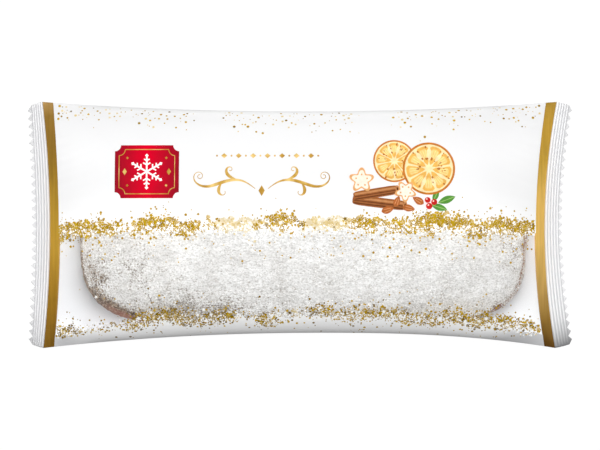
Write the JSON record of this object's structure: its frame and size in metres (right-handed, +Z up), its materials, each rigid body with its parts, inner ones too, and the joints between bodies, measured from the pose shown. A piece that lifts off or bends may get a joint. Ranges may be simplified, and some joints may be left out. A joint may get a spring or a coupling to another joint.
{
  "type": "stollen in a flow-wrap pack",
  "caption": "Sugar-dusted stollen loaf sealed in a printed pillow pack of film with a clear window, crimped end fins with a zigzag cut and a back seal.",
  "frame": {"origin": "middle of the bounding box's underside, on the back seal that the pack lies on", "axes": "+X along the pack, to the right of its print, +Y across it, towards the top of its print, +Z up, out of its printed front"},
  "size_m": [0.3326, 0.1492, 0.05],
  "materials": {
    "film": "satin printed film"
  },
  "bodies": {
    "root": {"stollen_pack": "film"}
  },
  "joints": []
}
